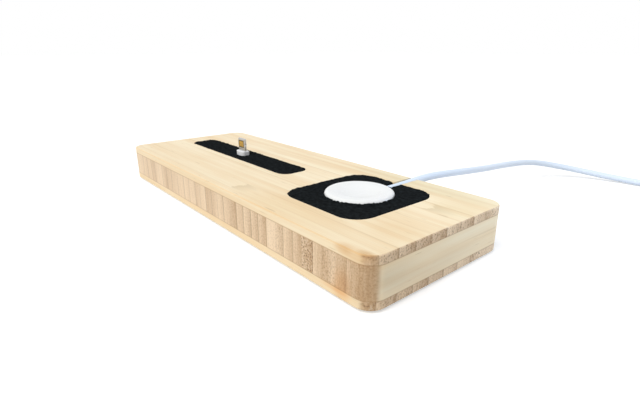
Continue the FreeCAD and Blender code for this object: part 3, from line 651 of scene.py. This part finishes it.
def felt_material():
    """Dyed wool felt: matt and nearly black, with a soft mottle of tufts and of matted, wavy fibres. The
    fibres are drawn about ten times as coarse as they are, so that they show."""
    material = blank_material("black_wool_felt")
    tree = material.node_tree
    where = add(tree, "ShaderNodeTexCoord", {}).outputs["Object"]
    tufts = add(
        tree, "ShaderNodeTexNoise", {"Vector": where, "Scale": 1 / TUFT_SIZE, "Detail": 3.0}
    ).outputs["Fac"]
    fibres = add(
        tree,
        "ShaderNodeTexNoise",
        {"Vector": where, "Scale": 1 / FIBRE_SIZE, "Detail": 2.0, "Distortion": 2.0},
    ).outputs["Fac"]
    matted = add(tree, "ShaderNodeMath", {0: tufts, 1: fibres}, operation="ADD").outputs[0]
    mottle = add(
        tree,
        "ShaderNodeMapRange",
        {"Value": matted, "From Min": MOTTLE_RANGE[0], "From Max": MOTTLE_RANGE[1]},
    ).outputs["Result"]
    body = add(
        tree,
        "ShaderNodeMixRGB",
        {"Fac": mottle, "Color1": colour(FELT_DARK), "Color2": colour(FELT_GREY)},
    )
    relief = add(
        tree,
        "ShaderNodeBump",
        {"Height": matted, "Strength": FELT_RELIEF, "Distance": FELT_RELIEF_HEIGHT},
    )
    shader = add(
        tree,
        "ShaderNodeBsdfPrincipled",
        {
            "Base Color": body.outputs["Color"],
            "Roughness": 1.0,
            "Specular IOR Level": 0.0,
            "Sheen Weight": 0.01,
            "Sheen Roughness": 0.6,
            "Normal": relief.outputs["Normal"],
        },
    )
    add(tree, "ShaderNodeOutputMaterial", {"Surface": shader.outputs["BSDF"]})
    return material


# The pads' mesh: its cell, how far the nap rises and how wide it swells, and how much of the pad's height,
# from below, keeps its shape
FELT_CELL = 0.4 * MM
FELT_LOFT = 0.14 * MM
COARSE_NAP = 2.6 * MM
FINE_NAP = 0.9 * MM
FINE_LOFT_SHARE = 0.6
FELT_BASE_SHARE = 0.5
# The fuzzy lip that leans out over the wood, and how much of it stands out even where the nap is low
FELT_LIP = 0.25 * MM
FELT_LIP_WIDTH = 1.1 * MM
FELT_LIP_LEAST = 0.2
FINE_TUFT_SHARE = 0.7
# The raised edge of the puck's round nest
NEST_CENTRE = Vector((0.0545, 0.0016, 0.0))
NEST_RADIUS = 14.2 * MM
NEST_LIP_WIDTH = 1.3 * MM
NEST_LIP_RISE = 1.3 * MM
NEST_LIP_LEAST = 0.85
NEST_LIP_NAP = 0.3
# The notch for the cord: its wall, which the cord presses back, from where and how far in
NOTCH_WALL = 52.55 * MM
NOTCH_START = 18.5 * MM
NOTCH_PRESS = 0.65 * MM
NOTCH_REACH = 4.0 * MM


def way_out(place, low, high, radius):
    """How far inside a pad's rounded outline a place lies, and the level way out to it."""
    middle = (low + high) / 2
    from_middle = place - middle
    past_x = abs(from_middle.x) - (high.x - middle.x - radius)
    past_y = abs(from_middle.y) - (high.y - middle.y - radius)
    way = Vector((max(past_x, 0.0), max(past_y, 0.0), 0.0))
    if way.length == 0:
        way = Vector((past_x > past_y, past_x <= past_y, 0.0))
        inside = radius - max(past_x, past_y)
    else:
        inside = radius - way.length
    way = Vector((math.copysign(way.x, from_middle.x), math.copysign(way.y, from_middle.y), 0.0))
    return inside, way.normalized()


def felt_sheet(name, node, radius):
    """The pad's outline as a fine mesh. Its matted top rises and falls, tufts lean out over the wood at its
    edge, and the edge of the puck's nest stands up round the puck."""
    sheet = bpy.data.objects.new(name, nodes[node].data.copy())
    bpy.context.scene.collection.objects.link(sheet)
    remesh = sheet.modifiers.new("fine", "REMESH")
    remesh.mode = "VOXEL"
    remesh.voxel_size = FELT_CELL
    settled = sheet.evaluated_get(bpy.context.evaluated_depsgraph_get())
    mesh = bpy.data.meshes.new_from_object(settled)
    sheet.modifiers.clear()
    sheet.data = mesh
    low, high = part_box(node)
    normals = [vertex.normal.copy() for vertex in mesh.vertices]
    for vertex, normal in zip(mesh.vertices, normals):
        place = vertex.co.copy()
        rise = (place.z - low.z) / (high.z - low.z)
        share = max(0.0, (rise - FELT_BASE_SHARE) / (1 - FELT_BASE_SHARE))
        coarse = noise.noise(place / COARSE_NAP)
        fine = noise.noise(place / FINE_NAP)
        vertex.co += normal * (share * FELT_LOFT * (coarse + FINE_LOFT_SHARE * fine))
        if high.z - place.z > FELT_CELL:
            continue
        inside, way = way_out(place, low, high, radius)
        rim = max(0.0, 1 - inside / FELT_LIP_WIDTH)
        tuft = max(0.0, FELT_LIP_LEAST + coarse + FINE_TUFT_SHARE * fine)
        vertex.co += way * (rim * tuft * FELT_LIP)
        vertex.co.z += rim * tuft * FELT_LIP / 2
        from_nest = place - NEST_CENTRE
        from_nest.z = 0
        lip = max(0.0, 1 - (from_nest.length - NEST_RADIUS) / NEST_LIP_WIDTH)
        vertex.co.z += lip * NEST_LIP_RISE * (NEST_LIP_LEAST + NEST_LIP_NAP * fine)
        if 0 <= NOTCH_WALL - place.x < NOTCH_REACH and place.y > NOTCH_START:
            pressed = 1 - (NOTCH_WALL - place.x) / NOTCH_REACH
            vertex.co.x -= NOTCH_PRESS * pressed
    mesh.shade_smooth()
    mesh.materials.clear()
    mesh.materials.append(black_felt)
    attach(sheet, "dock")
    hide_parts(node)
    return sheet


black_felt = felt_material()
phone_felt = felt_sheet("phone_felt", "phone_felt_pad", 4.9 * MM)
watch_felt = felt_sheet("watch_felt", "watch_felt_pad", 8.9 * MM)


# Upright plug: a white moulded housing that stands in its slot, with a plated steel tongue. A black
# insert on each side of the tongue holds eight gold-plated contacts.

METAL_GLOSS_SPREAD = 0.08
SCRATCH_RELIEF = 0.15
SCRATCH_DEPTH = 0.02 * MM


def metal(name, tint, roughness, brush_width, brush_length):
    """Plated or bare metal, lightly brushed: fine scratches, whose size is in millimetres, stretch its
    reflections."""
    material = blank_material(name)
    tree = material.node_tree
    where = add(tree, "ShaderNodeTexCoord", {}).outputs["Object"]
    stretch = Vector((1 / (brush_length * MM), 1 / (brush_width * MM), 1 / (brush_width * MM)))
    brushed = add(tree, "ShaderNodeMapping", {"Vector": where, "Scale": stretch}).outputs["Vector"]
    scratch = add(tree, "ShaderNodeTexNoise", {"Vector": brushed, "Scale": 1.0, "Detail": 2.0}).outputs["Fac"]
    gloss = add(
        tree,
        "ShaderNodeMapRange",
        {
            "Value": scratch,
            "To Min": roughness - METAL_GLOSS_SPREAD,
            "To Max": roughness + METAL_GLOSS_SPREAD,
        },
    )
    relief = add(
        tree,
        "ShaderNodeBump",
        {"Height": scratch, "Strength": SCRATCH_RELIEF, "Distance": SCRATCH_DEPTH},
    )
    shader = add(
        tree,
        "ShaderNodeBsdfPrincipled",
        {
            "Base Color": colour(tint),
            "Metallic": 1.0,
            "Roughness": gloss.outputs["Result"],
            "Normal": relief.outputs["Normal"],
        },
    )
    add(tree, "ShaderNodeOutputMaterial", {"Surface": shader.outputs["BSDF"]})
    return material


# Nickel plating on steel is grey-white and smooth, with soft streaks along the brush.
plated_steel = metal("nickel_plated_steel", "#C6C7C9", roughness=0.28, brush_width=0.12, brush_length=4.0)
# Gold plating is a warm pale yellow, a little brighter than brass.
gold = metal("gold_plated_contacts", "#DDB860", roughness=0.25, brush_width=0.1, brush_length=1.0)
# Polycarbonate from a polished mould is a clean white with a clear, slightly soft gloss.
POLYCARBONATE_IOR = 1.58
white_plastic = moulded(
    "white_polycarbonate",
    "#F3F4F6",
    "#F0F1F4",
    roughness=0.3,
    grit=0.25,
    relief_depth=0.01,
    ior=POLYCARBONATE_IOR,
)
# Nylon from a textured mould is black with a dull, even gloss.
black_plastic = moulded(
    "black_nylon", "#17181A", "#1D1E20", roughness=0.5, grit=0.3, relief_depth=0.03
)
dress(white_plastic, "connector_housing")
dress(plated_steel, "connector_tongue")
dress(black_plastic, "connector_inserts")
dress(gold, "connector_contacts")


# Retainer: a black moulded nylon plate under the housing, which holds the plug from below. Two
# countersunk screws hold it up against the core.

# Zinc plating is a duller and slightly darker grey than nickel.
zinc_plated_screw = metal("zinc_plated_screw", "#B9BABC", roughness=0.35, brush_width=0.1, brush_length=1.0)
dress(black_plastic, "connector_retainer")
dress(zinc_plated_screw, "retainer_screws")


# Charging puck: a white moulded cap with a dished face, on a ring closed by a flat base. The magnet and
# the copper coil lie under the face on a ferrite disc, and a round circuit board lies on the base.

# The puck's polycarbonate is smoother and a little warmer than the plugs', so its dish shades evenly.
white_puck = moulded(
    "white_puck_polycarbonate",
    "#F1F2F1",
    "#EEF0F0",
    roughness=0.25,
    grit=0.25,
    relief_depth=0.005,
    ior=POLYCARBONATE_IOR,
)
# Enamel gives the copper wire a brownish, satin shine.
copper_wire = metal("enamelled_copper_wire", "#C67B4E", roughness=0.35, brush_width=0.2, brush_length=2.0)
# Nickel over the magnet is bright, with a faint yellow cast.
nickel_magnet = metal("nickel_plated_magnet", "#BEBDBA", roughness=0.25, brush_width=0.2, brush_length=2.0)
# Sintered ferrite is a dry, dark grey, like fine stone.
ferrite = moulded("sintered_ferrite", "#333436", "#3B3C3E", roughness=0.7, grit=0.2, relief_depth=0.03)
# Solder mask over the laminate is a deep green with a smooth, half-gloss skin.
laminate = moulded(
    "green_circuit_laminate", "#1B5530", "#236239", roughness=0.4, grit=0.5, relief_depth=0.01
)
dress(white_puck, "puck_shell", "puck_base", "puck_cover")
dress(copper_wire, "puck_coil")
dress(nickel_magnet, "puck_magnet")
dress(ferrite, "puck_ferrite")
dress(laminate, "puck_circuit_board")
dress(black_plastic, "puck_chips")


# Cord: a soft round lead, 3.3 mm thick and 1 m long, moulded into a collar on the puck's side. It lies in
# the groove, droops from the back edge to the table, and its spare length is wound into a tied coil.

CORD_DIAMETER = 3.3 * MM
CORD_SIDES = 16
# The points that steer its line from the collar to the coil, and from the coil to the plug
CORD_ROUTE = [
    (0.0545, 0.0180, 0.0172),
    (0.0545, 0.0280, 0.0172),
    (0.0545, 0.0440, 0.0182),
    (0.0546, 0.0660, 0.0163),
    (0.0547, 0.0920, 0.0136),
    (0.0551, 0.1200, 0.0119),
    (0.0575, 0.1450, 0.0096),
    (0.0705, 0.1625, 0.0054),
    (0.0910, 0.1715, 0.0024),
    (0.1135, 0.1740, 0.00175),
    (0.1373, 0.17299, 0.00295),
]
CORD_TAIL = [(0.16839, 0.1329, 0.0053), (0.16839, 0.1249, 0.0038), (0.16839, 0.1219, 0.0038)]
# The coil: its middle, its turns in two layers, how many of them the climb between the layers takes, the
# innermost turn's radius, the step from turn to turn and from layer to layer, and the lower layer's height
COIL_CENTRE = (0.1433, 0.1479)
COIL_TURNS = 6.25
COIL_CLIMB = COIL_TURNS / 13
COIL_INNER_RADIUS = 12.906 * MM
COIL_PITCH = 3.9 * MM
COIL_LOW = 2.95 * MM
# Points that steer each turn, and the steps in which the line goes from one point to the next
POINTS_PER_TURN = 16
LINE_STEPS = 6


def coil_point(turn):
    """Where the cord is after so many turns: in along the lower layer, up, and out along the upper."""
    from_middle = turn - COIL_TURNS / 2
    share = min(max(from_middle / COIL_CLIMB + 0.5, 0.0), 1.0)
    radius = COIL_INNER_RADIUS + COIL_PITCH * abs(from_middle)
    angle = math.pi / 2 - 2 * math.pi * turn
    return (
        COIL_CENTRE[0] + radius * math.cos(angle),
        COIL_CENTRE[1] + radius * math.sin(angle),
        COIL_LOW + COIL_PITCH * (1 - math.cos(math.pi * share)) / 2,
    )


def smooth_line(points):
    """Points along the smooth curve that the given points steer."""
    curve = bpy.data.curves.new("cord_line", "CURVE")
    curve.dimensions = "3D"
    curve.resolution_u = LINE_STEPS
    spline = curve.splines.new("NURBS")
    spline.points.add(len(points) - 1)
    for control, place in zip(spline.points, points):
        control.co = (*place, 1.0)
    spline.order_u = 3
    spline.use_endpoint_u = True
    line = bpy.data.objects.new("cord_line", curve)
    places = [vertex.co.copy() for vertex in bpy.data.meshes.new_from_object(line).vertices]
    bpy.data.objects.remove(line)
    return places


def tube(name, path, diameter, sides):
    """A closed round tube along a path, its rings carried along without twist."""
    shape = bmesh.new()
    rings = []
    side = Vector((0, 0, 1))
    for number, place in enumerate(path):
        ahead = path[min(number + 1, len(path) - 1)]
        behind = path[max(number - 1, 0)]
        way = (ahead - behind).normalized()
        side = (side - way * side.dot(way)).normalized()
        other = way.cross(side)
        ring = []
        for k in range(sides):
            angle = 2 * math.pi * k / sides
            offset = side * math.cos(angle) + other * math.sin(angle)
            ring.append(shape.verts.new(place + offset * diameter / 2))
        rings.append(ring)
    for ring, following in zip(rings, rings[1:]):
        for k in range(sides):
            following_k = (k + 1) % sides
            shape.faces.new((ring[k], ring[following_k], following[following_k], following[k]))
    shape.faces.new(list(reversed(rings[0])))
    shape.faces.new(rings[-1])
    shape.normal_update()
    mesh = bpy.data.meshes.new(name)
    shape.to_mesh(mesh)
    shape.free()
    mesh.shade_smooth()
    made = bpy.data.objects.new(name, mesh)
    bpy.context.scene.collection.objects.link(made)
    return made


# Soft TPE is a cool, bluish white with a dull, smooth skin.
jacket = moulded("cord_jacket_tpe", "#E4F0FF", "#DEECFE", roughness=0.42, grit=0.4, relief_depth=0.01)
coil_count = int(COIL_TURNS * POINTS_PER_TURN)
coil_points = [coil_point(COIL_TURNS * k / coil_count) for k in range(1, coil_count + 1)]
cord_path = smooth_line(CORD_ROUTE + coil_points + CORD_TAIL)
cord = tube("charging_cord", cord_path, CORD_DIAMETER, CORD_SIDES)
cord.data.materials.append(jacket)
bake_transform(cord)
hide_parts("puck_cord", "cord_coil")
dress(jacket, "puck_collar", "usb_plug_sleeve")
dress(black_plastic, "cord_tie")


# Plug at the cord's end: a white moulded grip on a folded steel shell, with a black blade and four
# gold-plated contacts inside.

dress(white_plastic, "usb_plug_grip")
dress(plated_steel, "usb_plug_shell")
dress(black_plastic, "usb_plug_insert")
dress(gold, "usb_plug_contacts")


# Studio: a white table that keeps the dock's soft shadow, one broad soft lamp high in front, two small cards
# at the back right that fill the board's end and the cord, even light from all round, and the camera at the
# photograph's place.

FLOOR_HALF = 6.0
FLOOR_CARD = "#E1E1E1"
FLOOR_GLOW = 0.42
SKY_LEVEL = 0.4


def seen_as_backdrop(tree):
    """Gives 1 for what the camera sees straight, in gloss or through glass, and 0 for light on its way to
    the dock."""
    ray = add(tree, "ShaderNodeLightPath", {}).outputs
    seen = ray["Is Camera Ray"]
    for kind in ("Is Glossy Ray", "Is Transmission Ray"):
        seen = add(tree, "ShaderNodeMath", {0: seen, 1: ray[kind]}, operation="MAXIMUM").outputs[0]
    return seen


def floor_material():
    """Matt white card. To the camera it glows a little, so that it reads as white round the shadow."""
    material = blank_material("white_table_card")
    tree = material.node_tree
    card = add(tree, "ShaderNodeBsdfDiffuse", {"Color": colour(FLOOR_CARD)})
    lift = add(tree, "ShaderNodeMath", {0: seen_as_backdrop(tree), 1: FLOOR_GLOW}, operation="MULTIPLY")
    glow = add(tree, "ShaderNodeEmission", {"Strength": lift.outputs[0]})
    both = add(tree, "ShaderNodeAddShader", {0: card.outputs["BSDF"], 1: glow.outputs["Emission"]})
    add(tree, "ShaderNodeOutputMaterial", {"Surface": both.outputs["Shader"]})
    return material


def floor_plane():
    """The table top, wide enough to fill every view."""
    mesh = bpy.data.meshes.new("table")
    corners = [(-FLOOR_HALF, -FLOOR_HALF, 0), (FLOOR_HALF, -FLOOR_HALF, 0)]
    corners += [(FLOOR_HALF, FLOOR_HALF, 0), (-FLOOR_HALF, FLOOR_HALF, 0)]
    mesh.from_pydata(corners, [], [(0, 1, 2, 3)])
    mesh.materials.append(floor_material())
    table = bpy.data.objects.new("table", mesh)
    bpy.context.scene.collection.objects.link(table)


def surroundings():
    """Even light from all round, which the camera and reflections see as white."""
    world = bpy.data.worlds.new("white_studio")
    world.use_nodes = True
    tree = world.node_tree
    tree.nodes.clear()
    strength = add(
        tree,
        "ShaderNodeMapRange",
        {"Value": seen_as_backdrop(tree), "To Min": SKY_LEVEL, "To Max": 1.0},
    )
    sky = add(
        tree, "ShaderNodeBackground", {"Color": colour("#FFFFFF"), "Strength": strength.outputs["Result"]}
    )
    add(tree, "ShaderNodeOutputWorld", {"Surface": sky.outputs["Background"]})
    bpy.context.scene.world = world


def broad_lamp(name, towards, spread, level):
    """Soft light from one side, as even as from a wide softbox far off. At level 1, white card that faces it
    renders white by this light alone. Gloss shows the white surroundings instead of this lamp."""
    light = bpy.data.lights.new(name, "SUN")
    light.angle = math.radians(spread)
    light.energy = math.pi * level
    lamp = bpy.data.objects.new(name, light)
    lamp.rotation_mode = "QUATERNION"
    lamp.rotation_quaternion = Vector(towards).to_track_quat("Z", "Y")
    lamp.visible_glossy = False
    bpy.context.scene.collection.objects.link(lamp)


# The two fill cards are squares of this side, in metres, and light a cone of this many degrees
FILL_SIZE = 0.06
FILL_SPREAD = 60


def fill_card(name, place, aim, power, tint):
    """Soft light from a small card that stands near the dock, kept to a narrow cone."""
    light = bpy.data.lights.new(name, "AREA")
    light.size = FILL_SIZE
    light.spread = math.radians(FILL_SPREAD)
    light.energy = power
    light.color = colour(tint)[:3]
    lamp = bpy.data.objects.new(name, light)
    lamp.location = place
    lamp.rotation_mode = "QUATERNION"
    lamp.rotation_quaternion = (Vector(place) - Vector(aim)).to_track_quat("Z", "Y")
    bpy.context.scene.collection.objects.link(lamp)


# The camera that the photograph's perspective gives, in metres and degrees, with its sensor and lens in
# millimetres and its picture in pixels
CAMERA_PLACE = (0.169587, -0.115194, 0.072613)
CAMERA_AZIMUTH = 49.973
CAMERA_PITCH = 19.119
CAMERA_SENSOR = 36.0
CAMERA_LENS = 24.595
PICTURE_WIDTH = 640
PICTURE_SHIFT = 1
CAMERA_NEAR = 0.005


def photo_camera():
    """The place, direction and lens of the photograph, whose middle lies one pixel off the lens's axis."""
    data = bpy.data.cameras.new("photo_camera")
    data.sensor_width = CAMERA_SENSOR
    data.lens = CAMERA_LENS
    data.shift_y = PICTURE_SHIFT / PICTURE_WIDTH
    data.clip_start = CAMERA_NEAR
    camera = bpy.data.objects.new("photo_camera", data)
    camera.location = CAMERA_PLACE
    camera.rotation_euler = (math.pi / 2 - math.radians(CAMERA_PITCH), 0, math.radians(CAMERA_AZIMUTH))
    bpy.context.scene.collection.objects.link(camera)
    bpy.context.scene.camera = camera


floor_plane()
surroundings()
broad_lamp("key_softbox", towards=(-0.05, -0.58, 0.81), spread=50, level=0.72)
fill_card(
    "end_card", place=(0.15, 0.11, 0.05), aim=(0.097, 0.036, 0.014), power=0.008, tint="#C4DEFF"
)
fill_card(
    "cord_card", place=(0.16, 0.12, 0.06), aim=(0.055, 0.10, 0.015), power=0.0024, tint="#FFFFFF"
)
photo_camera()
bpy.context.scene.view_settings.view_transform = "Standard"
